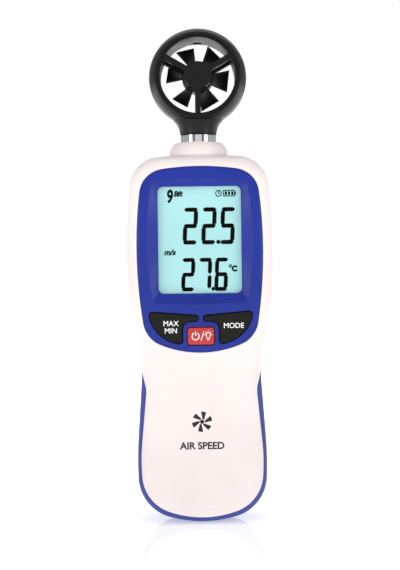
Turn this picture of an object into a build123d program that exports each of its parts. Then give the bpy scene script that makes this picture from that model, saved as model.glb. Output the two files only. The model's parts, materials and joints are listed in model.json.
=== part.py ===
from build123d import *
import math
import os

# Handheld vane anemometer: a white housing with a blue display bezel and a blue side grip,
# three keys, a battery door, and a black fan head that swivels on a chrome collar.
# Millimetres. +Z runs up the length, the display faces -Y, and Z = 0 is the lowest point of the housing.

# ---- driving dimensions ----
HALF_DEPTH = 14.0            # housing reaches from y = -14 to y = +14
WALL = 2.4                   # housing wall
BAND_DEPTH = 1.2             # how deep the side grip is let into the wall
FRONT_RADIUS = 5.5           # rounding of the front edge
BACK_RADIUS = 7.0            # rounding of the back edge
PARTING = 1.0                # y of the joint between the two shells
GAP = 0.15                   # assembly gap between fixed pieces

SHOULDER = 121.0             # top of the housing without its neck boss
NECK_TOP = 125.0             # top of the neck boss
HEAD_BOTTOM = 127.9          # lower edge of the fan head
HEAD_CENTRE = 147.1          # axis of the vane
HEAD_RADIUS = 16.3
DUCT_RADIUS = 12.5
COLLAR_RADIUS = 5.9

# ---- display stack, from the front backwards (y values) ----
BEZEL_BACK = -11.0
WINDOW_FRONT = -12.1
LCD_FRONT = -10.8
LCD_BACK = -8.8
LIGHT_BACK = -6.8
BOARD_FRONT = -5.4
BOARD_BACK = -3.8
WINDOW_WIDTH = 27.2
WINDOW_HEIGHT = 34.9
WINDOW_Z = 92.4
WINDOW_CORNER = 1.8

# ---- keys ----
KEY_FRONT = -14.3            # key tops stand a little proud of the bezel
RIDGE_HEIGHT = 0.3           # finger ridges on the battery door's latch
KEY_BACK = -10.0
KEY_TRAVEL = 0.6
KEY_GAP = 0.3
POWER_WIDTH = 8.6
POWER_HEIGHT = 5.6
POWER_Z = 61.05

# ---- batteries: three AAA cells side by side ----
CELL_RADIUS = 5.25
CELL_LENGTH = 44.5
NOSE_RADIUS = 1.9
NOSE_LENGTH = 0.8
CELL_PITCH = 11.0
CELL_Y = 5.0
TRAY_HALF = 16.4
TRAY_WALL = 0.8
PLATE = 0.4                  # thickness of the contact plates
TRAY_FLOOR = -0.6
DOOR_BOTTOM = 12.0
DOOR_TOP = 60.5

# ---- head and vane ----
STEM_RADIUS = 4.5
STEM_BORE = 3.0
BLADE_COUNT = 6
BLADE_TIP = 10.3
BLADE_ROOT = 4.6
BLADE_FRONT = -2.5
BLADE_BACK = 4.0
BLADE_SPAN = 35.0            # degrees that one blade covers, seen from the front
BLADE_START = 11.2           # front edge of the first blade, degrees from +X towards +Z
ARM_ANGLES = (30, 150, 270)
AXLE_RADIUS = 0.5

# ---- outlines, right half, seen from the front: (x, z, rounding radius) ----
CASE_CORNERS = ((20.9, 5.89, 14.0), (21.35, 22.0, 120.0), (19.35, 52.0, 40.0), (23.36, 69.2, 48.0),
                (23.97, 93.5, 200.0), (22.05, 119.24, 10.2), (0, SHOULDER, 150.0))
BEZEL_BOTTOM = 55.8
BEZEL_TOP = 116.3
BEZEL_CORNERS = ((17.8, 60.9, 9.0), (18.5, 114.1, 8.5))
BEZEL_WAIST = (20.48, 90.8)
GRIP_BOTTOM = 1.9
GRIP_SHOULDER = 49.2         # top of the side grip at the front and back
GRIP_CROWN = 51.6            # and in the middle of the flank
GRIP_CORNERS = ((19.4, 8.4, 13.0), (20.05, 21.5, 60.0), (17.95, 43.8, 9.0), (20.3, 52.2, 0))
KEY_CORNERS = ((0.95, 65.95, 0.8), (0.95, 67.65, 0.8), (16.9, 69.0, 1.1), (6.1, 58.6, 0.9), (6.1, 65.95, 2.7))
KEY_LOBE = (14.7, 63.2)

# ---- places worked out from the sizes above ----
KEY_STEMS = ((-11.3, 64.4), (0, POWER_Z), (11.3, 64.4))
TRAY_BOTTOM = 10.6
TRAY_TOP = 61.0
CELL_REST = TRAY_BOTTOM + PLATE + 0.05
SPRING_SPACE = TRAY_TOP - TRAY_BOTTOM - 2 * PLATE - CELL_LENGTH - 0.05
DOOR_GAP = 0.2
DOOR_THICKNESS = 2.2
DISH_FLOOR = -12.7
BOARD_BOTTOM = 57.5
BOARD_TOP = 113.0
ZEBRA_OFFSET = 18.3
HOLDER_WIDTH = 32.4
HOLDER_HEIGHT = 40.8
SWITCH_HEIGHT = 2.0
CELLS = ((-CELL_PITCH, True), (0, False), (CELL_PITCH, True))
UPRIGHT = (Align.CENTER, Align.CENTER, Align.MIN)
PLUNGER_FRONT = BOARD_FRONT - SWITCH_HEIGHT - 1.0
COLLAR_BOTTOM = 117.2
STEM_BOTTOM = 114.6
CLIP_Z = 115.9
RING_Z = 121.0
STEM_TOP = 131.0
RING_HALF = 7.8
SLEEVE_RADIUS = 13.4
HEAD_SCREWS = ((-6.8, 133.6), (6.8, 133.6))
HEAD_SCREW_SEAT = 3.0
BEARING_RADIUS = 1.6
BLADE_THICKNESS = 0.7
HUB_RADIUS = 5.2
HUB_FRONT = -2.9
HUB_BACK = 4.2
PROBE_REACH = 2.6

VANE_AXIS = Axis((0, 0, HEAD_CENTRE), (0, -1, 0))


def facing(y):
    """Plane that faces the front at depth y, with x to the right and its own y upwards."""
    return Plane.XZ.offset(-y)


def round_corners(sketch, corners):
    """Round each listed corner of a sketch, and its mirror image, with its own radius."""
    for x, z, radius in corners:
        for side in (1, -1):
            if radius and (x or side > 0):
                fillet(sketch.vertices().sort_by_distance((side * x, z, 0))[0], radius)


def case_outline(inset):
    """Front view of the housing, drawn in by inset."""
    flank = [(x, z) for x, z, radius in CASE_CORNERS]
    with BuildSketch() as outline:
        with BuildLine():
            ThreePointArc((-flank[0][0], flank[0][1]), (0, 0), flank[0])
            Polyline(*flank)
            Polyline(*[(-x, z) for x, z in flank])
        make_face()
        round_corners(outline, CASE_CORNERS)
        if inset:
            offset(amount=-inset, kind=Kind.INTERSECTION)
    return outline.sketch


def case_prism(inset, half_depth):
    """Straight-sided solid with the housing's front view, drawn in by inset."""
    with BuildPart() as prism:
        with BuildSketch(facing(half_depth)):
            add(case_outline(inset))
        extrude(amount=2 * half_depth)
    return prism.part


def bezel_outline(growth):
    """Front view of the display bezel, grown by growth."""
    (foot_x, foot_z, foot_r), (head_x, head_z, head_r) = BEZEL_CORNERS
    foot = (foot_x + growth, foot_z - growth)
    head = (head_x + growth, head_z + growth)
    waist = (BEZEL_WAIST[0] + growth, BEZEL_WAIST[1])
    with BuildSketch() as outline:
        with BuildLine():
            ThreePointArc((-foot[0], foot[1]), (0, BEZEL_BOTTOM - growth), foot)
            ThreePointArc(foot, waist, head)
            ThreePointArc(head, (0, BEZEL_TOP + growth), (-head[0], head[1]))
            ThreePointArc((-head[0], head[1]), (-waist[0], waist[1]), (-foot[0], foot[1]))
        make_face()
        round_corners(outline, ((*foot, foot_r + growth), (*head, head_r + growth)))
    return outline.sketch


def key_outline(side, growth):
    """Front view of a side key: an arm towards the middle over a lobe; side is 1 for right and -1 for left."""
    corners = [(x, z) for x, z, radius in KEY_CORNERS]
    with BuildSketch() as outline:
        with BuildLine():
            Polyline(corners[0], corners[1], corners[2])
            ThreePointArc(corners[2], KEY_LOBE, corners[3])
            Polyline(corners[3], corners[4], corners[0])
        make_face()
        for x, z, radius in KEY_CORNERS:
            fillet(outline.vertices().sort_by_distance((x, z, 0))[0], radius)
        if growth:
            offset(amount=growth)
        if side < 0:
            mirror(about=Plane.YZ, mode=Mode.REPLACE)
    return outline.sketch


def door_outline(inset):
    """Front view of the battery door, drawn in by inset."""
    with BuildSketch() as outline:
        with Locations((0, (DOOR_BOTTOM + DOOR_TOP) / 2)):
            RectangleRounded(2 * TRAY_HALF - 2 * inset, DOOR_TOP - DOOR_BOTTOM - 2 * inset, 2.5 - inset)
    return outline.sketch


def dish_outline():
    """Front view of the rim of the dish around the window: barrel-shaped, deepest at the foot."""
    with BuildSketch() as outline:
        with BuildLine():
            ThreePointArc((-15.2, 71.9), (0, 71.4), (15.2, 71.9))
            ThreePointArc((15.2, 71.9), (17.3, 92.0), (15.4, 111.6))
            ThreePointArc((15.4, 111.6), (0, 112.2), (-15.4, 111.6))
            ThreePointArc((-15.4, 111.6), (-17.3, 92.0), (-15.2, 71.9))
        make_face()
        fillet(outline.vertices(), 2.4)
    return outline.sketch


def grip_line():
    """Front view of the white area between the arms of the side grip."""
    line = [(x, z) for x, z, radius in GRIP_CORNERS]
    top = line[-1][1]
    with BuildSketch() as outline:
        with BuildLine():
            ThreePointArc((-line[0][0], line[0][1]), (0, GRIP_BOTTOM), line[0])
            Polyline(*line, (0, top), (-line[-1][0], top))
            Polyline(*[(-x, z) for x, z in line])
        make_face()
        round_corners(outline, GRIP_CORNERS)
    return outline.sketch


def screw(length, head_radius, head_height, shank_radius):
    """Pan-head screw that points to the front, with its seat at y = 0 and a cross recess in the head."""
    with BuildPart() as one:
        with BuildSketch(facing(head_height)):
            Circle(head_radius)
        extrude(amount=head_height)
        fillet(one.faces().sort_by(Axis.Y)[-1].edges(), head_height * 0.6)
        with BuildSketch(facing(0)):
            Circle(shank_radius)
        extrude(amount=length)
        chamfer(one.faces().sort_by(Axis.Y)[0].edges(), shank_radius * 0.4)
        with BuildSketch(facing(head_height)):
            Rectangle(head_radius * 1.2, head_radius * 0.28)
            Rectangle(head_radius * 0.28, head_radius * 1.2)
        extrude(amount=head_height * 0.5, mode=Mode.SUBTRACT)
    return one.part


def save(piece, name):
    """Label a finished piece and write it to its own STEP file."""
    piece.part.label = name
    export_step(piece.part, f"parts/{name}.step")


os.makedirs("parts", exist_ok=True)

with BuildPart() as outer:
    add(case_prism(0, HALF_DEPTH))
    fillet(outer.faces().sort_by(Axis.Y)[0].edges(), FRONT_RADIUS)
    fillet(outer.faces().sort_by(Axis.Y)[-1].edges(), BACK_RADIUS)
    with BuildSketch(Plane.XZ):
        with BuildLine():
            Polyline((0, SHOULDER - 4), (9.7, SHOULDER - 4), (9.7, 121.4))
            ThreePointArc((9.7, 121.4), (9.1, 123.4), (7.9, NECK_TOP))
            Polyline((7.9, NECK_TOP), (0, NECK_TOP), (0, SHOULDER - 4))
        make_face()
    revolve(axis=Axis.Z)
with BuildPart() as cavity:
    add(case_prism(WALL, HALF_DEPTH - 5.0))
    add(case_prism(WALL + 1.8, HALF_DEPTH - WALL))
recess = case_prism(BAND_DEPTH, HALF_DEPTH - 4.4)

HOUSING_SCREWS = ((-12.6, 115.4), (12.6, 115.4), (-17.6, 66.0), (17.6, 66.0), (-8.8, 6.7), (8.8, 6.7))
SCREW_SEAT = 9.6             # y where the housing screws' heads sit
BOARD_SCREWS = ((-18.3, 76.0), (18.3, 76.0), (-18.3, 106.0), (18.3, 106.0))

# ---- zone that the side grip takes: outside the grip line, under an arch on each side ----
with BuildPart() as grip_zone:
    with BuildSketch(facing(HALF_DEPTH + 1)):
        with Locations((0, 20)):
            Rectangle(60, 60)
        add(grip_line(), mode=Mode.SUBTRACT)
    extrude(amount=2 * HALF_DEPTH + 2)
    with BuildSketch(Plane.YZ):
        with BuildLine():
            ThreePointArc((-13.9, GRIP_SHOULDER), (0, GRIP_CROWN), (13.9, GRIP_SHOULDER))
            Polyline((13.9, GRIP_SHOULDER), (13.9, -12), (-13.9, -12), (-13.9, GRIP_SHOULDER))
        make_face()
    extrude(amount=40, both=True, mode=Mode.INTERSECT)

with BuildPart() as side_grip:
    add(outer.part)
    add(grip_zone.part, mode=Mode.INTERSECT)
    add(recess, mode=Mode.SUBTRACT)
save(side_grip, "side_grip")

# ---- whole housing, with the bore for the collar ----
with BuildPart() as housing:
    add(outer.part)
    add(cavity.part, mode=Mode.SUBTRACT)
    with Locations((0, 0, SHOULDER - 4)):
        Cylinder(COLLAR_RADIUS + 0.02, 30, mode=Mode.SUBTRACT)
    add(side_grip.part, mode=Mode.SUBTRACT)

# ---- front shell ----
with BuildPart() as front_shell:
    add(housing.part)
    with Locations((0, PARTING, 60)):
        Box(80, 60, 200, align=(Align.CENTER, Align.MIN, Align.CENTER), mode=Mode.SUBTRACT)
    with BuildSketch(facing(-9.0)):
        add(bezel_outline(1.6))
    extrude(amount=3.0)
    with BuildSketch(facing(BEZEL_BACK)):
        add(bezel_outline(GAP))
    extrude(amount=10, mode=Mode.SUBTRACT)
    with BuildSketch(facing(-8.0)):
        add(bezel_outline(-1.1))
    extrude(amount=10, mode=Mode.SUBTRACT)
    with BuildSketch(facing(PARTING)):
        with Locations(*HOUSING_SCREWS):
            Circle(2.3)
    extrude(amount=PARTING - BEZEL_BACK)
    with BuildSketch(facing(BOARD_FRONT)):
        with Locations(*BOARD_SCREWS):
            Circle(1.5)
    extrude(amount=BOARD_FRONT - BEZEL_BACK)
    with BuildSketch(facing(KEY_BACK + KEY_TRAVEL + 0.3)):
        for side in (1, -1):
            add(key_outline(side, 0.9))
    extrude(amount=10, mode=Mode.SUBTRACT)
    with BuildSketch(facing(BOARD_FRONT + 0.1)):
        with Locations((0, WINDOW_Z)):
            RectangleRounded(HOLDER_WIDTH + 2 * GAP, HOLDER_HEIGHT + 2 * GAP, 1.0)
    extrude(amount=BOARD_FRONT + 0.1 - BEZEL_BACK, mode=Mode.SUBTRACT)
    with BuildSketch(facing(PARTING)):
        with Locations(*HOUSING_SCREWS):
            Circle(1.02)
    extrude(amount=8, mode=Mode.SUBTRACT)
    with BuildSketch(facing(BOARD_FRONT)):
        with Locations(*BOARD_SCREWS):
            Circle(0.82)
    extrude(amount=4, mode=Mode.SUBTRACT)
save(front_shell, "front_shell")

# ---- rear shell with its battery tray and door opening ----
with BuildPart() as rear_shell:
    add(housing.part)
    with Locations((0, PARTING, 60)):
        Box(80, 60, 200, align=(Align.CENTER, Align.MAX, Align.CENTER), mode=Mode.SUBTRACT)
    with BuildSketch(facing(HALF_DEPTH - 2.0)):
        with Locations((0, (TRAY_BOTTOM + TRAY_TOP) / 2)):
            Rectangle(2 * (TRAY_HALF + TRAY_WALL), TRAY_TOP - TRAY_BOTTOM + 2 * TRAY_WALL)
    extrude(amount=HALF_DEPTH - 2.0 - TRAY_FLOOR + TRAY_WALL)
    add(outer.part, mode=Mode.INTERSECT)
    with BuildSketch(facing(HALF_DEPTH - WALL)):
        with Locations((0, (TRAY_BOTTOM + TRAY_TOP) / 2)):
            Rectangle(2 * TRAY_HALF, TRAY_TOP - TRAY_BOTTOM)
    extrude(amount=HALF_DEPTH - WALL - TRAY_FLOOR, mode=Mode.SUBTRACT)
    with BuildSketch(facing(HALF_DEPTH + 1)):
        add(door_outline(0))
    extrude(amount=4.7, mode=Mode.SUBTRACT)
    with BuildSketch(facing(HALF_DEPTH - 1.8)):
        with Locations(*HOUSING_SCREWS):
            Circle(2.9)
    extrude(amount=HALF_DEPTH - 1.8 - PARTING)
    with BuildSketch(facing(HALF_DEPTH + 1)):
        with Locations(*HOUSING_SCREWS):
            Circle(2.0)
    extrude(amount=HALF_DEPTH + 1 - SCREW_SEAT, mode=Mode.SUBTRACT)
    with BuildSketch(facing(SCREW_SEAT)):
        with Locations(*HOUSING_SCREWS):
            Circle(1.1)
    extrude(amount=SCREW_SEAT - PARTING, mode=Mode.SUBTRACT)
save(rear_shell, "rear_shell")

# ---- battery door: a plate flush with the back, two hooks at its foot and a latch tongue at its top ----
DOOR_INSIDE = HALF_DEPTH - DOOR_THICKNESS
LATCH_WIDTH = 11.2
LATCH_HEIGHT = 8.4
with BuildPart() as battery_door:
    with BuildSketch(facing(HALF_DEPTH)):
        add(door_outline(DOOR_GAP))
    extrude(amount=DOOR_THICKNESS)
    add(outer.part, mode=Mode.INTERSECT)
    with BuildSketch(facing(HALF_DEPTH + 1)):
        with Locations((0, DOOR_TOP - LATCH_HEIGHT / 2 + 0.5)):
            with GridLocations(LATCH_WIDTH + 0.8, 0, 2, 1):
                Rectangle(0.8, LATCH_HEIGHT + 1)
    extrude(amount=DOOR_THICKNESS + 2, mode=Mode.SUBTRACT)
    with BuildSketch(facing(HALF_DEPTH + RIDGE_HEIGHT)):
        with Locations((0, DOOR_TOP - LATCH_HEIGHT / 2)):
            with GridLocations(0, 1.4, 1, 5):
                SlotOverall(8.5, 0.6)
    extrude(amount=RIDGE_HEIGHT + 0.5)
    with BuildSketch(facing(DOOR_INSIDE + 0.1)):
        with Locations((0, DOOR_TOP - DOOR_GAP - 0.75)):
            Rectangle(7.0, 1.5)
    extrude(amount=1.0)
    for hook_foot, hook_top, front, back in (
            (TRAY_BOTTOM + GAP, DOOR_BOTTOM + 1.5, 10.7, 11.5), (DOOR_BOTTOM + 0.3, DOOR_BOTTOM + 1.5, 11.4, 11.9)):
        with BuildSketch(facing(back)):
            with Locations((0, (hook_foot + hook_top) / 2)):
                with GridLocations(16, 0, 2, 1):
                    Rectangle(5, hook_top - hook_foot)
        extrude(amount=back - front)
save(battery_door, "battery_door")

# ---- battery cells, nose up or down in turn, with a plate at each end and a spring under each flat end ----
with BuildPart() as battery_cells:
    for x, nose_up in CELLS:
        foot = CELL_REST + (SPRING_SPACE if nose_up else NOSE_LENGTH)
        nose = foot + CELL_LENGTH - NOSE_LENGTH if nose_up else CELL_REST
        with Locations((x, CELL_Y, foot)):
            Cylinder(CELL_RADIUS, CELL_LENGTH - NOSE_LENGTH, align=UPRIGHT)
        fillet(battery_cells.edges().filter_by(GeomType.CIRCLE).sort_by_distance((x, CELL_Y, foot))[:1], 0.5)
        with Locations((x, CELL_Y, nose)):
            Cylinder(NOSE_RADIUS, NOSE_LENGTH, align=UPRIGHT)
save(battery_cells, "battery_cells")

with BuildPart() as contact_plates:
    for x, nose_up in CELLS:
        with Locations((x, CELL_Y, TRAY_BOTTOM), (x, CELL_Y, TRAY_TOP - PLATE)):
            Box(9.0, 9.0, PLATE, align=UPRIGHT)
save(contact_plates, "contact_plates")

SPRING_WIRE = 0.25
with BuildPart() as spring:
    with BuildLine() as coil:
        Helix(pitch=(SPRING_SPACE - 2 * SPRING_WIRE - 0.1) / 3, height=SPRING_SPACE - 2 * SPRING_WIRE - 0.1, radius=3.4)
    with BuildSketch(Plane(origin=coil.line @ 0, z_dir=coil.line % 0)):
        Circle(SPRING_WIRE)
    sweep(is_frenet=True)
with BuildPart() as contact_springs:
    for x, nose_up in CELLS:
        foot = TRAY_BOTTOM + PLATE if nose_up else TRAY_TOP - PLATE - SPRING_SPACE
        add(Pos(x, CELL_Y, foot + SPRING_WIRE + 0.05) * spring.part)
save(contact_springs, "contact_springs")

# ---- display bezel ----
with BuildPart() as display_bezel:
    with BuildSketch(facing(BEZEL_BACK)):
        add(bezel_outline(0))
    extrude(amount=10)
    add(outer.part, mode=Mode.INTERSECT)
    with BuildSketch(facing(DISH_FLOOR)):
        with Locations((0, WINDOW_Z)):
            RectangleRounded(WINDOW_WIDTH + 0.6, WINDOW_HEIGHT + 0.6, WINDOW_CORNER + 0.3)
    with BuildSketch(facing(-HALF_DEPTH)):
        add(dish_outline())
    loft(mode=Mode.SUBTRACT)
    with BuildSketch(facing(BEZEL_BACK)):
        with Locations((0, WINDOW_Z)):
            RectangleRounded(WINDOW_WIDTH, WINDOW_HEIGHT, WINDOW_CORNER)
    extrude(amount=5, mode=Mode.SUBTRACT)
    with BuildSketch(facing(BEZEL_BACK)):
        with Locations((0, WINDOW_Z)):
            RectangleRounded(WINDOW_WIDTH + 2.4, WINDOW_HEIGHT + 2.4, WINDOW_CORNER + 1)
    extrude(amount=BEZEL_BACK - WINDOW_FRONT, mode=Mode.SUBTRACT)
    with BuildSketch(facing(-HALF_DEPTH)):
        with Locations((0, POWER_Z)):
            RectangleRounded(POWER_WIDTH + 2.2, POWER_HEIGHT + 2.0, 1.9)
    extrude(amount=0.25)
    with BuildSketch(facing(BEZEL_BACK)):
        with Locations((0, POWER_Z)):
            RectangleRounded(POWER_WIDTH + 2 * KEY_GAP, POWER_HEIGHT + 2 * KEY_GAP, 1.2)
        for side in (1, -1):
            add(key_outline(side, KEY_GAP))
    extrude(amount=5, mode=Mode.SUBTRACT)
save(display_bezel, "display_bezel")

# ---- clear window, liquid crystal cell, light guide and their holder ----
with BuildPart() as display_window:
    with BuildSketch(facing(BEZEL_BACK)):
        with Locations((0, WINDOW_Z)):
            RectangleRounded(WINDOW_WIDTH + 2.2, WINDOW_HEIGHT + 2.2, WINDOW_CORNER + 0.9)
    extrude(amount=BEZEL_BACK - WINDOW_FRONT)
save(display_window, "display_window")

with BuildPart() as lcd_glass:
    with BuildSketch(facing(LCD_BACK)):
        with Locations((0, WINDOW_Z)):
            Rectangle(30.0, 37.5)
    extrude(amount=LCD_BACK - LCD_FRONT)
save(lcd_glass, "lcd_glass")

with BuildPart() as lcd_light_guide:
    with BuildSketch(facing(LIGHT_BACK)):
        with Locations((0, WINDOW_Z)):
            Rectangle(29.0, 35.5)
    extrude(amount=LIGHT_BACK - LCD_BACK - 0.1)
    chamfer(lcd_light_guide.edges().filter_by(Axis.Y), 0.8)
save(lcd_light_guide, "lcd_light_guide")

with BuildPart() as lcd_holder:
    with BuildSketch(facing(BOARD_FRONT)):
        with Locations((0, WINDOW_Z)):
            RectangleRounded(HOLDER_WIDTH, HOLDER_HEIGHT, 1.0)
            Rectangle(30.2, 38.0, mode=Mode.SUBTRACT)
    extrude(amount=BOARD_FRONT - LCD_FRONT)
    with BuildSketch(facing(BOARD_FRONT)):
        with Locations((0, WINDOW_Z)):
            RectangleRounded(HOLDER_WIDTH, HOLDER_HEIGHT, 1.0)
            with Locations((0, -ZEBRA_OFFSET), (0, ZEBRA_OFFSET)):
                Rectangle(28.4, 1.0, mode=Mode.SUBTRACT)
    extrude(amount=BOARD_FRONT - LIGHT_BACK - 0.1)
save(lcd_holder, "lcd_holder")

with BuildPart() as zebra_strips:
    for z in (WINDOW_Z - ZEBRA_OFFSET, WINDOW_Z + ZEBRA_OFFSET):
        with Locations((0, (BOARD_FRONT + LCD_BACK) / 2, z)):
            Box(28.0, BOARD_FRONT - LCD_BACK, 0.8)
save(zebra_strips, "zebra_strips")

# ---- circuit board and what is soldered to it ----
with BuildPart() as main_board:
    with BuildSketch(facing(BOARD_BACK)):
        add(case_outline(WALL + 1.0))
        with Locations((0, (BOARD_BOTTOM + BOARD_TOP) / 2)):
            Rectangle(60, BOARD_TOP - BOARD_BOTTOM, mode=Mode.INTERSECT)
        with Locations(*HOUSING_SCREWS):
            Circle(2.9, mode=Mode.SUBTRACT)
        with Locations(*BOARD_SCREWS):
            Circle(1.0, mode=Mode.SUBTRACT)
    extrude(amount=BOARD_BACK - BOARD_FRONT)
save(main_board, "main_board")

with BuildPart() as mcu_chip:
    with Locations((0, BOARD_BACK, 92)):
        Box(10, 1.4, 10, align=(Align.CENTER, Align.MIN, Align.CENTER))
    chamfer(mcu_chip.edges().filter_by(Axis.Y), 0.5)
save(mcu_chip, "mcu_chip")

with BuildPart() as clock_crystal:
    with BuildSketch(facing(BOARD_BACK + 3.2)):
        with Locations((11.5, 92)):
            SlotOverall(7.5, 3.2, rotation=90)
    extrude(amount=3.2)
save(clock_crystal, "clock_crystal")

with BuildPart() as lead_sockets:
    for x, z in ((0, 108.0), (-12.0, 76.0)):
        with Locations((x, BOARD_BACK, z)):
            Box(7.0, 3.0, 3.6, align=(Align.CENTER, Align.MIN, Align.CENTER))
save(lead_sockets, "lead_sockets")

with BuildPart() as key_switches:
    for x, z in KEY_STEMS:
        with BuildSketch(facing(BOARD_FRONT)):
            with Locations((x, z)):
                RectangleRounded(4.6, 4.6, 0.5)
        extrude(amount=SWITCH_HEIGHT)
        with BuildSketch(facing(BOARD_FRONT - SWITCH_HEIGHT)):
            with Locations((x, z)):
                Circle(1.06)
        extrude(amount=-(KEY_TRAVEL + 0.4), mode=Mode.SUBTRACT)
save(key_switches, "key_switches")

# ---- keys: a cap in the bezel, a flange behind it and a stem on the switch's plunger ----
def key_piece(cap, flange, stem):
    """Solid key from the outlines of its cap and flange and the place of its stem."""
    with BuildPart() as key:
        with BuildSketch(facing(BEZEL_BACK + 0.1)):
            add(cap)
        extrude(amount=BEZEL_BACK + 0.1 - KEY_FRONT)
        fillet(key.faces().sort_by(Axis.Y)[0].edges(), 0.3)
        with BuildSketch(facing(KEY_BACK)):
            add(flange)
        extrude(amount=KEY_BACK - BEZEL_BACK - 0.1)
        with BuildSketch(facing(PLUNGER_FRONT)):
            with Locations(stem):
                Circle(1.6)
        extrude(amount=PLUNGER_FRONT - KEY_BACK)
    return key


def plunger_piece(stem):
    """Switch plunger that the key's stem rests on."""
    with BuildPart() as plunger:
        with BuildSketch(facing(BOARD_FRONT - SWITCH_HEIGHT + 0.3)):
            with Locations(stem):
                Circle(1.0)
        extrude(amount=BOARD_FRONT - SWITCH_HEIGHT + 0.3 - PLUNGER_FRONT)
    return plunger


def power_outline(growth):
    """Front view of the power key, grown by growth."""
    with BuildSketch() as outline:
        with Locations((0, POWER_Z)):
            RectangleRounded(POWER_WIDTH + 2 * growth, POWER_HEIGHT + 2 * growth, 0.9 + growth)
    return outline.sketch


KEYS = {
    "left": (key_outline(-1, 0), key_outline(-1, 0.6)),
    "power": (power_outline(0), power_outline(0.55)),
    "right": (key_outline(1, 0), key_outline(1, 0.6)),
}
for (key_name, (cap, flange)), stem in zip(KEYS.items(), KEY_STEMS):
    save(key_piece(cap, flange, stem), f"key_{key_name}")
    save(plunger_piece(stem), f"plunger_{key_name}")

# ---- housing and board screws ----
house_screw = screw(13.0, 1.9, 1.3, 1.0)
with BuildPart() as housing_screws:
    for x, z in HOUSING_SCREWS:
        add(Pos(x, SCREW_SEAT, z) * house_screw)
save(housing_screws, "housing_screws")

board_screw = screw(4.2, 1.6, 1.0, 0.8)
with BuildPart() as board_screws:
    for x, z in BOARD_SCREWS:
        add(Pos(x, BOARD_BACK, z) * board_screw)
save(board_screws, "board_screws")

# ---- chrome collar in the neck boss, and the hollow stem of the head that turns in it ----
with BuildPart() as neck_collar:
    with BuildSketch(Plane.XZ):
        with BuildLine():
            Polyline((STEM_RADIUS + 0.05, COLLAR_BOTTOM), (COLLAR_RADIUS, COLLAR_BOTTOM),
                     (COLLAR_RADIUS, HEAD_BOTTOM - 0.35), (COLLAR_RADIUS - 0.25, HEAD_BOTTOM - 0.1),
                     (STEM_RADIUS + 0.05, HEAD_BOTTOM - 0.1), (STEM_RADIUS + 0.05, COLLAR_BOTTOM))
        make_face()
    revolve(axis=Axis.Z)
save(neck_collar, "neck_collar")

with BuildPart() as swivel_stem:
    with BuildSketch(Plane.XZ):
        with BuildLine():
            Polyline((STEM_BORE, STEM_BOTTOM), (STEM_RADIUS, STEM_BOTTOM), (STEM_RADIUS, CLIP_Z),
                     (STEM_RADIUS - 0.6, CLIP_Z), (STEM_RADIUS - 0.6, CLIP_Z + 1.0), (STEM_RADIUS, CLIP_Z + 1.0),
                     (STEM_RADIUS, RING_Z - 0.6), (STEM_RADIUS - 0.9, RING_Z - 0.6),
                     (STEM_RADIUS - 0.9, RING_Z + 0.6), (STEM_RADIUS, RING_Z + 0.6),
                     (STEM_RADIUS, STEM_TOP), (STEM_BORE, STEM_TOP), (STEM_BORE, STEM_BOTTOM))
        make_face()
    revolve(axis=Axis.Z)
save(swivel_stem, "swivel_stem")

with BuildPart() as friction_ring:
    with Locations((0, 0, RING_Z)):
        Torus(STEM_RADIUS - 0.42, 0.44)
save(friction_ring, "friction_ring")

with BuildPart() as stem_clip:
    with BuildSketch(Plane.XY.offset(CLIP_Z + 0.1)):
        Circle(STEM_RADIUS + 1.5)
        Circle(STEM_RADIUS - 0.55, mode=Mode.SUBTRACT)
        with Locations((0, -STEM_RADIUS)):
            Rectangle(5.0, STEM_RADIUS * 1.6, mode=Mode.SUBTRACT)
    extrude(amount=0.8)
save(stem_clip, "stem_clip")

# ---- head: a balloon-shaped ring on a round neck, split front and back ----
NECK_SECTIONS = ((HEAD_BOTTOM, 6.0, 6.0), (HEAD_BOTTOM + 1.4, 6.25, 6.2), (HEAD_BOTTOM + 3.4, 7.05, 6.75),
                 (HEAD_BOTTOM + 5.4, 8.7, 7.35), (HEAD_BOTTOM + 7.4, 10.7, 7.7), (HEAD_BOTTOM + 9.6, 12.4, 7.6))
with BuildPart() as head_form:
    for z, half_width, half_depth in NECK_SECTIONS:
        with BuildSketch(Plane.XY.offset(z)):
            Ellipse(half_width, half_depth)
    loft()
    with BuildSketch(Plane.XY.offset(HEAD_CENTRE)):
        with BuildLine():
            Polyline((DUCT_RADIUS - 0.5, RING_HALF - 1.2), (DUCT_RADIUS - 0.5, -RING_HALF + 1.2))
            ThreePointArc((DUCT_RADIUS - 0.5, -RING_HALF + 1.2), (DUCT_RADIUS + 0.5, -RING_HALF + 0.25),
                          (DUCT_RADIUS + 1.7, -RING_HALF))
            ThreePointArc((DUCT_RADIUS + 1.7, -RING_HALF), (HEAD_RADIUS - 0.72, -RING_HALF * 0.62),
                          (HEAD_RADIUS, 0))
            ThreePointArc((HEAD_RADIUS, 0), (HEAD_RADIUS - 0.72, RING_HALF * 0.62),
                          (DUCT_RADIUS + 1.7, RING_HALF))
            ThreePointArc((DUCT_RADIUS + 1.7, RING_HALF), (DUCT_RADIUS + 0.5, RING_HALF - 0.25),
                          (DUCT_RADIUS - 0.5, RING_HALF - 1.2))
        make_face()
    revolve(axis=VANE_AXIS)
    with BuildSketch(facing(RING_HALF + 1)):
        with Locations((0, HEAD_CENTRE)):
            Circle(SLEEVE_RADIUS + 0.05)
    extrude(amount=2 * RING_HALF + 2, mode=Mode.SUBTRACT)
    with Locations((0, 0, HEAD_BOTTOM - 1)):
        Cylinder(STEM_RADIUS + 0.02, STEM_TOP - HEAD_BOTTOM + 1.02, mode=Mode.SUBTRACT,
                 align=UPRIGHT)
    with Locations((0, 0, STEM_TOP)):
        Box(11.0, 4.4, 3.2, mode=Mode.SUBTRACT, align=UPRIGHT)

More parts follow.
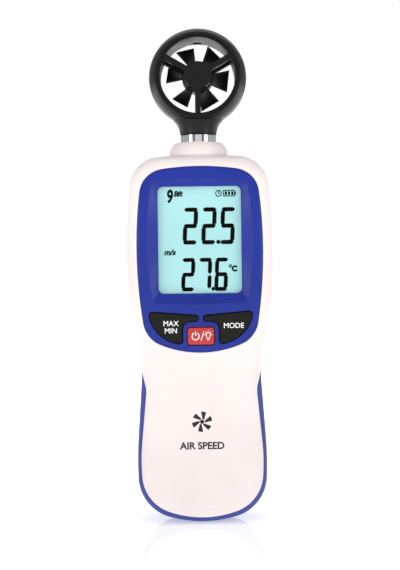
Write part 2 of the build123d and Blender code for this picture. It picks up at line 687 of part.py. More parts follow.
for half_name, cut_side in (("head_front_shell", Align.MIN), ("head_rear_shell", Align.MAX)):
    with BuildPart() as head_half:
        add(head_form.part)
        with Locations((0, 0, HEAD_CENTRE)):
            Box(60, 40, 60, align=(Align.CENTER, cut_side, Align.CENTER), mode=Mode.SUBTRACT)
        with BuildSketch(facing(12)):
            with Locations(*HEAD_SCREWS):
                Circle(1.7)
        extrude(amount=12 - HEAD_SCREW_SEAT, mode=Mode.SUBTRACT)
        with BuildSketch(facing(HEAD_SCREW_SEAT)):
            with Locations(*HEAD_SCREWS):
                Circle(0.85)
        extrude(amount=HEAD_SCREW_SEAT + 4.0, mode=Mode.SUBTRACT)
    save(head_half, half_name)

head_screw = screw(HEAD_SCREW_SEAT + 3.5, 1.5, 0.9, 0.8)
with BuildPart() as head_screws:
    for x, z in HEAD_SCREWS:
        add(Pos(x, HEAD_SCREW_SEAT, z) * head_screw)
save(head_screws, "head_screws")


# ---- vane cartridge: front and rear frames, each a ring with three arms and a bearing hub ----
def vane_frame(ring, arms, hub, hub_radius, arm_width, bearing):
    """Ring, three arms and hub, each between its own two y values, with a blind bearing seat in the hub."""
    with BuildPart() as cage:
        with BuildSketch(facing(ring[1])):
            with Locations((0, HEAD_CENTRE)):
                Circle(SLEEVE_RADIUS)
                Circle(DUCT_RADIUS, mode=Mode.SUBTRACT)
        extrude(amount=ring[1] - ring[0])
        with BuildSketch(facing(arms[1])):
            with Locations((0, HEAD_CENTRE)):
                for angle in ARM_ANGLES:
                    Rectangle(DUCT_RADIUS + 0.4, arm_width, rotation=angle, align=(Align.MIN, Align.CENTER))
        extrude(amount=arms[1] - arms[0])
        with BuildSketch(facing(hub[1])):
            with Locations((0, HEAD_CENTRE)):
                Circle(hub_radius)
        extrude(amount=hub[1] - hub[0])
        corners = cage.edges().filter_by(Axis.Y).filter_by(lambda edge: in_reach(edge, hub_radius))
        fillet(corners, 0.6)
        with BuildSketch(facing(bearing[1])):
            with Locations((0, HEAD_CENTRE)):
                Circle(BEARING_RADIUS)
        extrude(amount=bearing[1] - bearing[0], mode=Mode.SUBTRACT)
    return cage


def in_reach(edge, radius):
    """True where an edge lies near the rim of a hub of that radius about the vane axis."""
    middle = edge.center()
    return abs(math.hypot(middle.X, middle.Z - HEAD_CENTRE) - radius) < 0.3


front_frame = vane_frame((-7.0, -4.6), (-6.7, -4.7), (-6.9, -3.9), 4.6, 1.9, (-5.6, -3.9))
save(front_frame, "vane_front_frame")

rear_frame = vane_frame((-4.55, 7.4), (4.9, 7.1), (4.7, 7.2), 4.0, 1.85, (4.7, 6.2))
with BuildPart() as vane_rear_frame:
    add(rear_frame.part)
    with Locations((0, 5.0, HEAD_CENTRE + DUCT_RADIUS)):
        Box(2.8, 3.0, 4.0, mode=Mode.SUBTRACT)
    for x in (-3.2, 3.2):
        with Locations((x, 7.2, HEAD_CENTRE + DUCT_RADIUS)):
            Box(0.7, 1.4, 4.0, mode=Mode.SUBTRACT)
    with Locations((2.4, 0.5, HEAD_CENTRE - DUCT_RADIUS)):
        Cylinder(0.62, 4.0, mode=Mode.SUBTRACT)
    with Locations((-3.0, 0.5, HEAD_CENTRE - DUCT_RADIUS)):
        Box(2.0, 2.4, 4.0, mode=Mode.SUBTRACT)
save(vane_rear_frame, "vane_rear_frame")

with BuildPart() as vane_bearings:
    for low, high in ((-5.6, -3.95), (4.75, 6.2)):
        with BuildSketch(facing(high)):
            with Locations((0, HEAD_CENTRE)):
                Circle(BEARING_RADIUS - 0.02)
                Circle(AXLE_RADIUS + 0.04, mode=Mode.SUBTRACT)
        extrude(amount=high - low)
save(vane_bearings, "vane_bearings")

with BuildPart() as impeller_axle:
    with BuildSketch(facing(5.9)):
        with Locations((0, HEAD_CENTRE)):
            Circle(AXLE_RADIUS)
    extrude(amount=5.9 + 5.3)
    chamfer(impeller_axle.edges(), 0.2)
save(impeller_axle, "impeller_axle")

# ---- impeller: six twisted blades on a hub ----
def blade_section(radius):
    """Thin slanted section of a blade at a radius, on the plane square to the blade's middle line."""
    reach = radius * math.tan(math.radians(BLADE_SPAN / 2))
    half = BLADE_THICKNESS / 2
    return ((reach, BLADE_FRONT), (reach - 2 * half, BLADE_FRONT), (-reach, BLADE_BACK), (-reach + 2 * half, BLADE_BACK))


with BuildPart() as blade:
    for radius in (BLADE_ROOT, BLADE_TIP):
        with BuildSketch(Plane(origin=(radius, 0, 0), x_dir=(0, 0, 1), z_dir=(1, 0, 0))):
            with BuildLine():
                Polyline(*[(along, -y) for along, y in blade_section(radius)], close=True)
            make_face()
    loft()

with BuildPart() as impeller:
    with BuildSketch(facing(HUB_BACK)):
        with Locations((0, HEAD_CENTRE)):
            Circle(HUB_RADIUS)
    extrude(amount=HUB_BACK - HUB_FRONT)
    fillet(impeller.faces().sort_by(Axis.Y)[0].edges(), 0.8)
    for number in range(BLADE_COUNT):
        middle = BLADE_START - BLADE_SPAN / 2 + number * 360 / BLADE_COUNT
        add(Pos(0, 0, HEAD_CENTRE) * Rot(0, -middle, 0) * blade.part)
    with BuildSketch(facing(HUB_BACK)):
        with Locations((0, HEAD_CENTRE)):
            Circle(AXLE_RADIUS)
    extrude(amount=HUB_BACK - HUB_FRONT, mode=Mode.SUBTRACT)
    with BuildSketch(facing(HUB_BACK)):
        with Locations((0, HEAD_CENTRE)):
            Circle(HUB_RADIUS - 1.0)
            Circle(1.6, mode=Mode.SUBTRACT)
    extrude(amount=3.5, mode=Mode.SUBTRACT)
save(impeller, "impeller")

# ---- sensing parts in the head's neck, and their lead through the hollow stem ----
with BuildPart() as sensor_board:
    with Locations((0, 0, STEM_TOP + 0.5)):
        Box(10.0, 4.0, 0.8, align=UPRIGHT)
save(sensor_board, "sensor_board")

with BuildPart() as speed_pickup:
    with Locations((-3.0, 0.5, STEM_TOP + 1.3)):
        Box(1.8, 2.2, 0.9, align=UPRIGHT)
save(speed_pickup, "speed_pickup")

with BuildPart() as temperature_bead:
    with Locations((2.4, 0.5, STEM_TOP + 1.3)):
        Cylinder(0.3, PROBE_REACH, align=UPRIGHT)
    with Locations((2.4, 0.5, STEM_TOP + 1.3 + PROBE_REACH)):
        Sphere(0.5)
save(temperature_bead, "temperature_bead")

with BuildPart() as sensor_lead:
    with BuildLine() as route:
        FilletPolyline((0, BOARD_BACK + 1.5, 109.9), (0, BOARD_BACK + 1.5, 113.0), (0, 0, 117.5),
                       (0, 0, STEM_TOP + 0.4), radius=2.5)
    with BuildSketch(Plane(origin=route.line @ 0, z_dir=route.line % 0)):
        Circle(0.9)
    sweep()
save(sensor_lead, "sensor_lead")
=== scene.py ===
import json
import math

import bmesh
import bpy
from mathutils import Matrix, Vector


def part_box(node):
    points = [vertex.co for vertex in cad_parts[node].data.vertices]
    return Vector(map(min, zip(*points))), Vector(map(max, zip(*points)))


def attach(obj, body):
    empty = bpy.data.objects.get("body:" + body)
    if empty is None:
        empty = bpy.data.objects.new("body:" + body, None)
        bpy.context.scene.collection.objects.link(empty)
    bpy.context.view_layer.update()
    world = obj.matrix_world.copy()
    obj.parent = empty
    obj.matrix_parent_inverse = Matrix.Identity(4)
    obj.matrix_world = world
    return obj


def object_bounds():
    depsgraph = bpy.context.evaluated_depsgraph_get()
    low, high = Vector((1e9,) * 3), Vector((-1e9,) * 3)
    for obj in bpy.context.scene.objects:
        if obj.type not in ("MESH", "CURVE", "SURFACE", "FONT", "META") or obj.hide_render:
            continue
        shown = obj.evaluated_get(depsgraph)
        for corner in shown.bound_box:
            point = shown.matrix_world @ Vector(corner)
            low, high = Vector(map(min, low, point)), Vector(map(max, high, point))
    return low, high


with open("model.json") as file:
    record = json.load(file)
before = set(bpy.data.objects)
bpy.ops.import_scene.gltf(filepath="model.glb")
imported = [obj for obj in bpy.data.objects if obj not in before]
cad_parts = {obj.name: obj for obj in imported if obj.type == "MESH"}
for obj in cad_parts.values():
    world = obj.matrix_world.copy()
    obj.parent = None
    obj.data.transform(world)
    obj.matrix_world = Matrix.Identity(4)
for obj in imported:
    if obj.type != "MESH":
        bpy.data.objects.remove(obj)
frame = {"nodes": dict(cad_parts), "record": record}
cad_low, cad_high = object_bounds()

# Handheld vane wind meter. Metres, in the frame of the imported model: +Z up its length, display towards -Y.
MM = 0.001
WHITE = (1.0, 1.0, 1.0)


# ---------------------------------------------------------------- materials
TINT_SPREAD = (0.35, 0.65)   # where the darker and the lighter shade begin in the noise
SHADE_SCALE = 60.0           # patches of shade per metre
GLOSS_SCALE = 400.0          # patches of gloss per metre
SKIN_DEPTH = 0.00003         # height of a moulded skin, in metres
METAL_SHADE = 0.86           # darkest part of a metal against its colour
LCD_GLOW = 0.30


def linear(hex_colour):
    """Linear RGBA of an sRGB hex colour."""
    parts = [int(hex_colour[i:i + 2], 16) / 255 for i in (1, 3, 5)]
    return tuple(p / 12.92 if p <= 0.04045 else ((p + 0.055) / 1.055) ** 2.4 for p in parts) + (1.0,)


def shader(name, **inputs):
    """New material with its Principled shader's inputs set, and that shader."""
    material = bpy.data.materials.new(name)
    material.use_nodes = True
    principled = material.node_tree.nodes["Principled BSDF"]
    for key, value in inputs.items():
        principled.inputs[key.replace("_", " ")].default_value = value
    return material, principled


def add_node(material, kind, **settings):
    """New node whose settings are attributes, or inputs where they are named like one."""
    node = material.node_tree.nodes.new(kind)
    for key, value in settings.items():
        if key in node.inputs:
            node.inputs[key].default_value = value
        else:
            setattr(node, key, value)
    return node


def join(material, source, target):
    """Link two sockets of a material."""
    material.node_tree.links.new(source, target)


def place(material):
    """Socket with the piece's own coordinates in metres."""
    return add_node(material, "ShaderNodeTexCoord").outputs["Object"]


def grain(material, principled, scale, strength, distance, detail=3.0):
    """Fine bump of a moulded skin; scale is in bumps per metre."""
    noise = add_node(material, "ShaderNodeTexNoise", Scale=scale, Detail=detail, Roughness=0.55)
    join(material, place(material), noise.inputs["Vector"])
    bump = add_node(material, "ShaderNodeBump", Strength=strength, Distance=distance)
    join(material, noise.outputs["Fac"], bump.inputs["Height"])
    join(material, bump.outputs["Normal"], principled.inputs["Normal"])


def tint(material, principled, dark, light, scale):
    """Slow, slight change of base colour over the piece. Gives back the ramp that makes it."""
    noise = add_node(material, "ShaderNodeTexNoise", Scale=scale, Detail=2.0)
    join(material, place(material), noise.inputs["Vector"])
    ramp = add_node(material, "ShaderNodeValToRGB")
    ramp.color_ramp.elements[0].position = TINT_SPREAD[0]
    ramp.color_ramp.elements[1].position = TINT_SPREAD[1]
    ramp.color_ramp.elements[0].color = dark
    ramp.color_ramp.elements[1].color = light
    join(material, noise.outputs["Fac"], ramp.inputs["Fac"])
    join(material, ramp.outputs["Color"], principled.inputs["Base Color"])
    return ramp


def roughness_range(material, principled, low, high, scale):
    """Roughness that wanders between two values."""
    noise = add_node(material, "ShaderNodeTexNoise", Scale=scale, Detail=4.0)
    join(material, place(material), noise.inputs["Vector"])
    spread = add_node(material, "ShaderNodeMapRange")
    spread.inputs["To Min"].default_value = low
    spread.inputs["To Max"].default_value = high
    join(material, noise.outputs["Fac"], spread.inputs["Value"])
    join(material, spread.outputs["Result"], principled.inputs["Roughness"])


def moulded(name, dark, light, rough, bump=0.12, grain_scale=9000.0, gloss=0.5):
    """Moulded plastic or rubber: two close shades, a fine skin and uneven gloss."""
    material, principled = shader(name)
    principled.inputs["Specular IOR Level"].default_value = gloss
    tint(material, principled, linear(dark), linear(light), SHADE_SCALE)
    grain(material, principled, grain_scale, bump, SKIN_DEPTH)
    roughness_range(material, principled, rough[0], rough[1], GLOSS_SCALE)
    return material


def metal(name, colour, rough, stretch=(1.0, 1.0, 1.0), scale=2500.0, bump=0.1):
    """Metal with drawn or turned marks along the axis with the smallest stretch."""
    material, principled = shader(name, Metallic=1.0)
    mapping = add_node(material, "ShaderNodeMapping", Scale=stretch)
    join(material, place(material), mapping.inputs["Vector"])
    noise = add_node(material, "ShaderNodeTexNoise", Scale=scale, Detail=4.0)
    join(material, mapping.outputs["Vector"], noise.inputs["Vector"])
    ramp = add_node(material, "ShaderNodeValToRGB")
    base = linear(colour)
    ramp.color_ramp.elements[0].color = tuple(c * METAL_SHADE for c in base[:3]) + (1.0,)
    ramp.color_ramp.elements[1].color = base
    join(material, noise.outputs["Fac"], ramp.inputs["Fac"])
    join(material, ramp.outputs["Color"], principled.inputs["Base Color"])
    spread = add_node(material, "ShaderNodeMapRange")
    spread.inputs["To Min"].default_value = rough[0]
    spread.inputs["To Max"].default_value = rough[1]
    join(material, noise.outputs["Fac"], spread.inputs["Value"])
    join(material, spread.outputs["Result"], principled.inputs["Roughness"])
    bumps = add_node(material, "ShaderNodeBump", Strength=bump, Distance=0.00002)
    join(material, noise.outputs["Fac"], bumps.inputs["Height"])
    join(material, bumps.outputs["Normal"], principled.inputs["Normal"])
    return material


def display_face():
    """Lit liquid crystal: a pale cyan glow in two close shades, with a very fine skin."""
    material, principled = shader("lit_liquid_crystal", Roughness=0.35)
    principled.inputs["Emission Strength"].default_value = LCD_GLOW
    ramp = tint(material, principled, linear("#a2d3d4"), linear("#a8d8d9"), 45.0)
    join(material, ramp.outputs["Color"], principled.inputs["Emission Color"])
    grain(material, principled, 12000.0, 0.05, 0.00001)
    return material


def clear(name, colour, rough=0.02):
    """Thin clear plastic that light passes without bending far."""
    material, principled = shader(name, Roughness=rough, IOR=1.12, Transmission_Weight=1.0)
    principled.inputs["Base Color"].default_value = linear(colour)
    grain(material, principled, 300.0, 0.01, 0.00001, detail=1.0)
    return material


def cell_sleeve():
    """Sleeve of a battery cell: dark green, a pale band near one end and bare steel at both ends."""
    material, principled = shader("cell_sleeve", Metallic=0.35, Roughness=0.35)
    split = add_node(material, "ShaderNodeSeparateXYZ")
    join(material, place(material), split.inputs["Vector"])
    spread = add_node(material, "ShaderNodeMapRange")
    low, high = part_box("battery_cells")
    spread.inputs["From Min"].default_value = low.z
    spread.inputs["From Max"].default_value = high.z
    join(material, split.outputs["Z"], spread.inputs["Value"])
    ramp = add_node(material, "ShaderNodeValToRGB")
    ramp.color_ramp.interpolation = "CONSTANT"
    steel, green, pale = "#c8c9c8", "#1f4d38", "#d9d7c8"
    bands = ((0.0, steel), (0.06, green), (0.7, pale), (0.76, green), (0.95, steel))
    elements = ramp.color_ramp.elements
    while len(elements) < len(bands):
        elements.new(0.5)
    for element, (position, colour) in zip(elements, bands):
        element.position = position
        element.color = linear(colour)
    join(material, spread.outputs["Result"], ramp.inputs["Fac"])
    join(material, ramp.outputs["Color"], principled.inputs["Base Color"])
    grain(material, principled, 3000.0, 0.05, 0.00002)
    return material


def board_material():
    """Green solder mask with faint copper tracks under it."""
    material, principled = shader("circuit_board", Roughness=0.42)
    brick = add_node(material, "ShaderNodeTexBrick", Scale=260.0)
    brick.inputs["Color1"].default_value = linear("#135a33")
    brick.inputs["Color2"].default_value = linear("#17663a")
    brick.inputs["Mortar"].default_value = linear("#3b8a4c")
    brick.inputs["Mortar Size"].default_value = 0.03
    turn = add_node(material, "ShaderNodeMapping", Rotation=(math.pi / 2, 0, 0))
    join(material, place(material), turn.inputs["Vector"])
    join(material, turn.outputs["Vector"], brick.inputs["Vector"])
    join(material, brick.outputs["Color"], principled.inputs["Base Color"])
    bumps = add_node(material, "ShaderNodeBump", Strength=0.2, Distance=0.00003)
    join(material, brick.outputs["Fac"], bumps.inputs["Height"])
    join(material, bumps.outputs["Normal"], principled.inputs["Normal"])
    return material


MATERIALS = {
    "white_shell": moulded("white_abs", "#f1e5e2", "#f5eae7", (0.32, 0.42), 0.06, 7000.0),
    "blue_grip": moulded("blue_rubber", "#2a3b8e", "#30439a", (0.48, 0.62), 0.25, 5200.0),
    "blue_bezel": moulded("blue_abs", "#10278a", "#132b92", (0.26, 0.36), 0.06, 8000.0, gloss=0.3),
    "clear_window": clear("clear_acrylic", "#fcffff"),
    "lcd_face": display_face(),
    "light_guide": moulded("frosted_acrylic", "#d9f3f2", "#e6fbfa", (0.5, 0.6)),
    "black_inner_plastic": moulded("black_inner_plastic", "#1b1b1c", "#222223", (0.5, 0.65)),
    "black_rubber": moulded("black_rubber", "#141414", "#1a1a1a", (0.65, 0.8), 0.3),
    "circuit_board": board_material(),
    "chip_plastic": moulded("chip_plastic", "#161618", "#1d1d1f", (0.45, 0.6)),
    "bare_steel": metal("bare_steel", "#c4c5c7", (0.22, 0.36), (1.0, 1.0, 0.06)),
    "white_nylon": moulded("white_nylon", "#dcd9cf", "#e6e3da", (0.4, 0.55)),
    "grey_key": moulded("dark_key_plastic", "#0f0e0c", "#131210", (0.38, 0.50), 0.10, 6500.0, gloss=0.2),
    "red_key": moulded("red_key_plastic", "#bb2a2b", "#c33133", (0.34, 0.44), 0.08, 6500.0),
    "cell_sleeve": cell_sleeve(),
    "screw_steel": metal("zinc_steel", "#a5a6a8", (0.28, 0.42), scale=4000.0),
    "chrome_collar": metal("polished_chrome", "#e9ebee", (0.05, 0.09), (1.0, 1.0, 6.0), bump=0.03),
    "black_head": moulded("black_head_abs", "#0a0a0a", "#0e0e0e", (0.28, 0.38), 0.14, 7000.0, gloss=0.22),
    "black_vane": moulded("black_vane_plastic", "#0a0a0a", "#0e0e0e", (0.36, 0.5), 0.08, 7000.0, gloss=0.2),
    "bearing_brass": metal("turned_brass", "#cda45a", (0.2, 0.3), (1.0, 8.0, 1.0)),
    "probe_glass": moulded("probe_epoxy", "#3a1a0c", "#44200f", (0.15, 0.25)),
    "lead_sleeve": moulded("lead_sleeve", "#202021", "#272728", (0.5, 0.65)),
    "legend_white": moulded("legend_paint_white", "#f2f2f0", "#fbfbfa", (0.45, 0.55)),
    "legend_black": moulded("print_black", "#0c0c0c", "#121212", (0.42, 0.55)),
    "segment_black": moulded("segment_black", "#010203", "#030506", (0.7, 0.8), 0.0, gloss=0.05),
}

for entry in frame["record"]["subparts"]:
    node = frame["nodes"][entry["node"]]
    node.data.materials.clear()
    node.data.materials.append(MATERIALS[entry["material_slot"]])


# ---------------------------------------------------------------- mesh helpers
SINK = 0.01                  # how far a flat print reaches below its surface, in mm
CAPITAL = 0.69               # height of a capital against the size of the font


def piece(name, bm, material, body):
    """Finish a mesh as a named piece that rides on a body."""
    bmesh.ops.recalc_face_normals(bm, faces=bm.faces)
    mesh = bpy.data.meshes.new(name)
    bm.to_mesh(mesh)
    bm.free()
    made = bpy.data.objects.new(name, mesh)
    bpy.context.scene.collection.objects.link(made)
    mesh.materials.append(MATERIALS[material])
    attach(made, body)


def slab(bm, outline, front, back):
    """Flat plate from a closed front view outline [(x, z)] in mm, between two y values in mm."""
    rings = []
    for y in (front, back):
        rings.append([bm.verts.new((x * MM, y * MM, z * MM)) for x, z in outline])
    bm.faces.new(rings[0])
    bm.faces.new(list(reversed(rings[1])))
    count = len(outline)
    for i in range(count):
        j = (i + 1) % count
        bm.faces.new((rings[0][i], rings[1][i], rings[1][j], rings[0][j]))


def sign(name, outlines, surface, thick, material, body):
    """Flat print of closed outlines, thick mm proud of the surface at y mm."""
    bm = bmesh.new()
    for outline in outlines:
        slab(bm, outline, surface - thick, surface + SINK)
    piece(name, bm, material, body)


def disc(x, z, radius, steps=32, start=0.0, end=360.0):
    """Points of an arc or circle seen from the front."""
    closed = end - start >= 360.0
    last = steps if closed else steps + 1
    return [(x + radius * math.cos(math.radians(start + (end - start) * i / steps)),
             z + radius * math.sin(math.radians(start + (end - start) * i / steps))) for i in range(last)]


def band(x, z, radius, width, start=0.0, end=360.0, steps=32):
    """Closed outline of an arc-shaped stroke."""
    outer = disc(x, z, radius + width / 2, steps, start, end)
    inner = disc(x, z, radius - width / 2, steps, start, end)
    return outer + list(reversed(inner))


def stroke(x0, z0, x1, z1, width):
    """Straight stroke as a four-cornered outline."""
    along = Vector((x1 - x0, z1 - z0)).normalized()
    side = Vector((-along.y, along.x)) * width / 2
    return [(x0 + side.x, z0 + side.y), (x0 - side.x, z0 - side.y),
            (x1 - side.x, z1 - side.y), (x1 + side.x, z1 + side.y)]


def text(name, words, material, body, x, z, height, y, bold=0.0, width=1.0, slant=0.0, thick=0.03):
    """Printed words, centred on (x, z) in mm, with capitals height mm tall, on the surface at y mm."""
    curve = bpy.data.curves.new(name, "FONT")
    curve.body = words
    curve.align_x = "CENTER"
    curve.align_y = "CENTER"
    curve.size = height * MM / CAPITAL
    curve.offset = bold * MM
    curve.extrude = thick * MM
    curve.shear = slant
    curve.resolution_u = 6
    curve.space_line = 1.0
    made = bpy.data.objects.new(name, curve)
    bpy.context.scene.collection.objects.link(made)
    made.rotation_euler = (math.pi / 2, 0, 0)
    made.scale = (width, 1, 1)
    made.location = (x * MM, (y + thick) * MM - SINK * MM, z * MM)
    bpy.context.view_layer.update()
    mesh = bpy.data.meshes.new_from_object(made.evaluated_get(bpy.context.evaluated_depsgraph_get()))
    mesh.transform(made.matrix_world)
    bpy.data.objects.remove(made)
    solid = bpy.data.objects.new(name, mesh)
    bpy.context.scene.collection.objects.link(solid)
    mesh.materials.clear()
    mesh.materials.append(MATERIALS[material])
    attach(solid, body)


# ---------------------------------------------------------------- display: digits, units and small symbols
LCD_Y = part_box("lcd_glass")[0].y / MM
INK = 0.05                   # thickness of the segments, in mm
FIGURE_SLANT = 0.05
SEGMENT_GAP = 0.10           # between neighbouring segments, in mm
SEGMENTS = {"2": "abged", "5": "afgcd", "6": "afgecd", "7": "abc"}


def digit(figure, x, low, high, width, thick):
    """Outlines of one seven-segment figure with slanted sides and mitred ends."""
    height = high - low
    half = thick / 2
    gap = SEGMENT_GAP
    middle = height / 2

    def at(u, v):
        return (x - width / 2 + u + (v - middle) * FIGURE_SLANT, low + v)

    def across(v):
        ends = ((gap, v), (half + gap, v + half), (width - half - gap, v + half), (width - gap, v),
                (width - half - gap, v - half), (half + gap, v - half))
        return [at(u, w) for u, w in ends]

    def upright(u, v0, v1):
        ends = ((u, v0 + gap), (u - half, v0 + half + gap), (u - half, v1 - half - gap), (u, v1 - gap),
                (u + half, v1 - half - gap), (u + half, v0 + half + gap))
        return [at(w, v) for w, v in ends]

    shapes = {
        "a": across(height - half), "g": across(middle), "d": across(half),
        "f": upright(half, middle, height - half), "b": upright(width - half, middle, height - half),
        "e": upright(half, half, middle), "c": upright(width - half, half, middle),
    }
    return [shapes[letter] for letter in SEGMENTS[figure]]


def reading(name, figures, low, high, width, thick, point):
    """Row of figures [(figure, centre x)] with a decimal point."""
    outlines = []
    for figure, x in figures:
        outlines += digit(figure, x, low, high, width, thick)
    outlines.append(disc(point[0], point[1], thick * 0.5, 20))
    lcd_sign(name, outlines)


def lcd_sign(name, outlines):
    """Mark of closed outlines on the display."""
    sign(name, outlines, LCD_Y, INK, "segment_black", "handle")


def lcd_text(name, words, x, z, height, bold, width=1.0, slant=0.0):
    """Words on the display."""
    text(name, words, "segment_black", "handle", x, z, height, LCD_Y - INK, bold, width, slant)


reading("lcd_speed_figures", (("2", -3.0), ("2", 3.1), ("5", 9.2)),
        low=90.95, high=103.05, width=4.75, thick=1.38, point=(6.1, 91.7))
reading("lcd_temperature_figures", (("2", -3.9), ("7", 1.6), ("6", 6.95)),
        low=75.65, high=86.55, width=4.35, thick=1.3, point=(4.25, 76.4))
lcd_text("lcd_speed_unit", "m/s", x=-9.9, z=88.4, height=1.75, bold=0.12, slant=0.25)
lcd_text("lcd_force_figure", "9", x=-9.7, z=106.55, height=4.0, bold=0.22, width=0.7, slant=0.1)
lcd_text("lcd_force_unit", "Bft", x=-7.0, z=107.5, height=1.65, bold=0.12, slant=0.25)
lcd_text("lcd_celsius_letter", "C", x=11.25, z=82.85, height=1.65, bold=0.17)
lcd_sign("lcd_degree_ring", [band(9.95, 83.75, 0.38, 0.36)])

CLOCK_X, SYMBOL_Z = 6.4, 107.6
SYMBOL_STROKE = 0.3
lcd_sign("lcd_clock_symbol", [
    band(CLOCK_X, SYMBOL_Z, 0.95, 0.32),
    stroke(CLOCK_X, SYMBOL_Z - 0.1, CLOCK_X, SYMBOL_Z + 0.8, SYMBOL_STROKE),
    stroke(CLOCK_X - 0.1, SYMBOL_Z, CLOCK_X + 0.6, SYMBOL_Z, SYMBOL_STROKE),
])

CASE_LEFT, CASE_RIGHT = 8.0, 11.6
CASE_LOW, CASE_HIGH = SYMBOL_Z - 0.9, SYMBOL_Z + 0.9
case = [
    stroke(CASE_LEFT, CASE_LOW, CASE_RIGHT, CASE_LOW, SYMBOL_STROKE),
    stroke(CASE_LEFT, CASE_HIGH, CASE_RIGHT, CASE_HIGH, SYMBOL_STROKE),
    stroke(CASE_LEFT, CASE_LOW - 0.1, CASE_LEFT, CASE_HIGH + 0.1, SYMBOL_STROKE),
    stroke(CASE_RIGHT, CASE_LOW - 0.1, CASE_RIGHT, CASE_HIGH + 0.1, SYMBOL_STROKE),
    stroke(CASE_RIGHT + 0.3, SYMBOL_Z - 0.4, CASE_RIGHT + 0.3, SYMBOL_Z + 0.4, SYMBOL_STROKE),
]
bars = [stroke(x, SYMBOL_Z - 0.6, x, SYMBOL_Z + 0.6, 0.7) for x in (8.75, 9.8, 10.85)]
lcd_sign("lcd_battery_symbol", case + bars)

# ---------------------------------------------------------------- keys: legends
KEY_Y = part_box("key_left")[0].y / MM
LEGEND = 0.03                # thickness of the key legends, in mm
LEGEND_HEIGHT = 1.62
text("key_left_legend", "MAX\nMIN", "legend_white", "key_left", -9.75, 64.0, LEGEND_HEIGHT, KEY_Y, bold=0.03)
text("key_right_legend", "MODE", "legend_white", "key_right", 10.7, 64.3, LEGEND_HEIGHT, KEY_Y, bold=0.03)

POWER_X, POWER_Z = -1.75, 61.0
sign("power_symbol", [
    band(POWER_X, POWER_Z, 1.15, 0.32, 120.0, 420.0),
    stroke(POWER_X, POWER_Z + 0.15, POWER_X, POWER_Z + 1.6, 0.32),
], KEY_Y, LEGEND, "legend_white", "key_power")

BULB_X, BULB_Z = 2.35, 61.5
lamp = [
    stroke(0.0, 59.6, 0.95, 62.5, 0.26),
    band(BULB_X, BULB_Z, 0.72, 0.26, -50.0, 230.0),
    stroke(1.9, 60.85, 2.0, 60.3, 0.24),
    stroke(2.8, 60.85, 2.7, 60.3, 0.24),
    stroke(1.95, 60.2, 2.75, 60.2, 0.26),
    stroke(2.05, 59.8, 2.65, 59.8, 0.22),
]
for angle in (0, 45, 90, 135, 180):
    c, s = math.cos(math.radians(angle)), math.sin(math.radians(angle))
    lamp.append(stroke(BULB_X + 1.05 * c, BULB_Z + 1.05 * s, BULB_X + 1.4 * c, BULB_Z + 1.4 * s, 0.2))
sign("lamp_symbol", lamp, KEY_Y, LEGEND, "legend_white", "key_power")

# ---------------------------------------------------------------- grip: a fan sign and generic words
SHELL_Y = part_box("front_shell")[0].y / MM
GRIP_PRINT = 0.02            # thickness of the fan sign, in mm
FAN_Z = 33.2
BLADE_ROOT, BLADE_TIP = 0.9, 3.3
blades = []
for blade in range(6):
    turn = math.radians(60 * blade)
    root = [(BLADE_ROOT, turn + a) for a in (-0.35, 0.35)]
    tip = [(BLADE_TIP, turn + a) for a in (0.62, 0.45, 0.28, 0.10)]
    blades.append([(radius * math.cos(a), FAN_Z + radius * math.sin(a)) for radius, a in root + tip])
hub = disc(0.0, FAN_Z, 0.7, 24)
sign("grip_print_fan_sign", blades + [hub], SHELL_Y, GRIP_PRINT, "legend_black", "handle")
text("grip_print_words", "AIR SPEED", "legend_black", "handle", 0.0, 25.3, 2.2, SHELL_Y, bold=0.1)

# ---------------------------------------------------------------- studio
scene = bpy.context.scene
# Brightness of the room by how far to the side a direction points: a white wall ahead and behind, a dark
# gap between it and the softboxes, and mid-grey side walls. The backdrop itself shows as plain white.
ROOM_WALLS = ((0.0, 0.76), (0.38, 0.76), (0.42, 0.03), (0.50, 0.03), (0.54, 0.46), (1.0, 0.46))
world = bpy.data.worlds.new("studio")
world.use_nodes = True
backdrop = world.node_tree.nodes["Background"]
backdrop.inputs["Color"].default_value = WHITE + (1.0,)
direction = world.node_tree.nodes.new("ShaderNodeTexCoord")
split = world.node_tree.nodes.new("ShaderNodeSeparateXYZ")
sideways = world.node_tree.nodes.new("ShaderNodeMath")
sideways.operation = "ABSOLUTE"
walls = world.node_tree.nodes.new("ShaderNodeValToRGB")
walls.color_ramp.interpolation = "LINEAR"
while len(walls.color_ramp.elements) < len(ROOM_WALLS):
    walls.color_ramp.elements.new(0.5)
for element, (position, bright) in zip(walls.color_ramp.elements, ROOM_WALLS):
    element.position = position
    element.color = (bright, bright, bright, 1.0)
seen = world.node_tree.nodes.new("ShaderNodeLightPath")
strength = world.node_tree.nodes.new("ShaderNodeMath")
strength.operation = "MAXIMUM"
for source, target in (
        (direction.outputs["Generated"], split.inputs["Vector"]),
        (split.outputs["X"], sideways.inputs[0]),
        (sideways.outputs["Value"], walls.inputs["Fac"]),
        (walls.outputs["Color"], strength.inputs[0]),
        (seen.outputs["Is Camera Ray"], strength.inputs[1]),
        (strength.outputs["Value"], backdrop.inputs["Strength"])):
    world.node_tree.links.new(source, target)
scene.world = world
scene.view_settings.view_transform = "Standard"

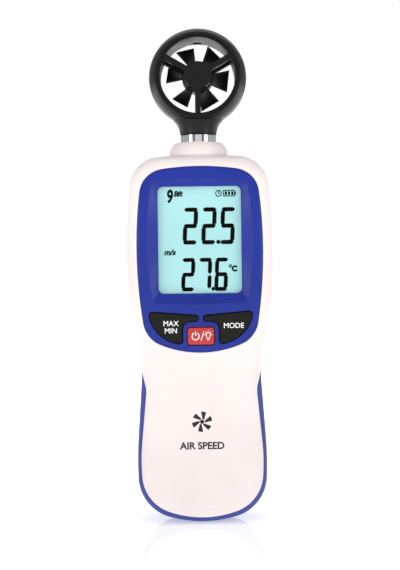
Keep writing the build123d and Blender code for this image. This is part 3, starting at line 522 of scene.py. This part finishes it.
FLOOR_HALF = 3.0
FLOOR_GAP = 0.0002           # between the floor and the lowest point of the meter
FLOOR_NEAR, FLOOR_FAR = 0.06, 0.6
FLOOR_GLOW = (0.42, 1.3)     # up to FLOOR_NEAR metres from the meter, and from FLOOR_FAR on
floor_material, floor_shader = shader("floor_paint", Roughness=0.06)
floor_shader.inputs["Specular IOR Level"].default_value = 0.3
floor_shader.inputs["Emission Color"].default_value = WHITE + (1.0,)
distance = add_node(floor_material, "ShaderNodeVectorMath", operation="LENGTH")
join(floor_material, place(floor_material), distance.inputs[0])
glow = add_node(floor_material, "ShaderNodeMapRange")
glow.inputs["From Min"].default_value = FLOOR_NEAR
glow.inputs["From Max"].default_value = FLOOR_FAR
glow.inputs["To Min"].default_value = FLOOR_GLOW[0]
glow.inputs["To Max"].default_value = FLOOR_GLOW[1]
join(floor_material, distance.outputs["Value"], glow.inputs["Value"])
join(floor_material, glow.outputs["Result"], floor_shader.inputs["Emission Strength"])
tint(floor_material, floor_shader, linear("#fdfdfd"), WHITE + (1.0,), 2.0)
bm = bmesh.new()
bmesh.ops.create_grid(bm, x_segments=8, y_segments=8, size=FLOOR_HALF)
mesh = bpy.data.meshes.new("studio_floor")
bm.to_mesh(mesh)
bm.free()
floor = bpy.data.objects.new("studio_floor", mesh)
floor.location = (0, 0, cad_low.z - FLOOR_GAP)
scene.collection.objects.link(floor)
mesh.materials.append(floor_material)

CENTRE = (0.0, 0.0, 0.08)    # what the lamps face
SIDE_LAMP = (0.42, -0.34, 0.20)
SIDE_SIZE, SIDE_POWER = (0.16, 0.46), 0.72
TOP_LAMP = (0.0, 0.1, 0.75)
TOP_SIZE, TOP_POWER = (0.5, 0.3), 0.5


def softbox(name, spot, size, power):
    """Rectangular area light that faces the meter."""
    light = bpy.data.lights.new(name, "AREA")
    light.shape = "RECTANGLE"
    light.size, light.size_y = size
    light.energy = power
    lamp = bpy.data.objects.new(name, light)
    lamp.location = spot
    lamp.rotation_euler = (Vector(CENTRE) - Vector(spot)).to_track_quat("-Z", "Y").to_euler()
    scene.collection.objects.link(lamp)


softbox("softbox_left", (-SIDE_LAMP[0], SIDE_LAMP[1], SIDE_LAMP[2]), SIDE_SIZE, SIDE_POWER)
softbox("softbox_right", SIDE_LAMP, SIDE_SIZE, SIDE_POWER)
softbox("softbox_top", TOP_LAMP, TOP_SIZE, TOP_POWER)

# ---------------------------------------------------------------- camera: level, in front of the meter
CAMERA_SPOT = (-0.0001, -0.450, 0.07767)
CAMERA_ROLL = 0.75           # degrees
camera_data = bpy.data.cameras.new("camera")
camera_data.sensor_width = 36.0
camera_data.lens = 84.7
camera = bpy.data.objects.new("camera", camera_data)
camera.location = CAMERA_SPOT
camera.rotation_euler = (math.pi / 2, math.radians(CAMERA_ROLL), 0)
scene.collection.objects.link(camera)
scene.camera = camera
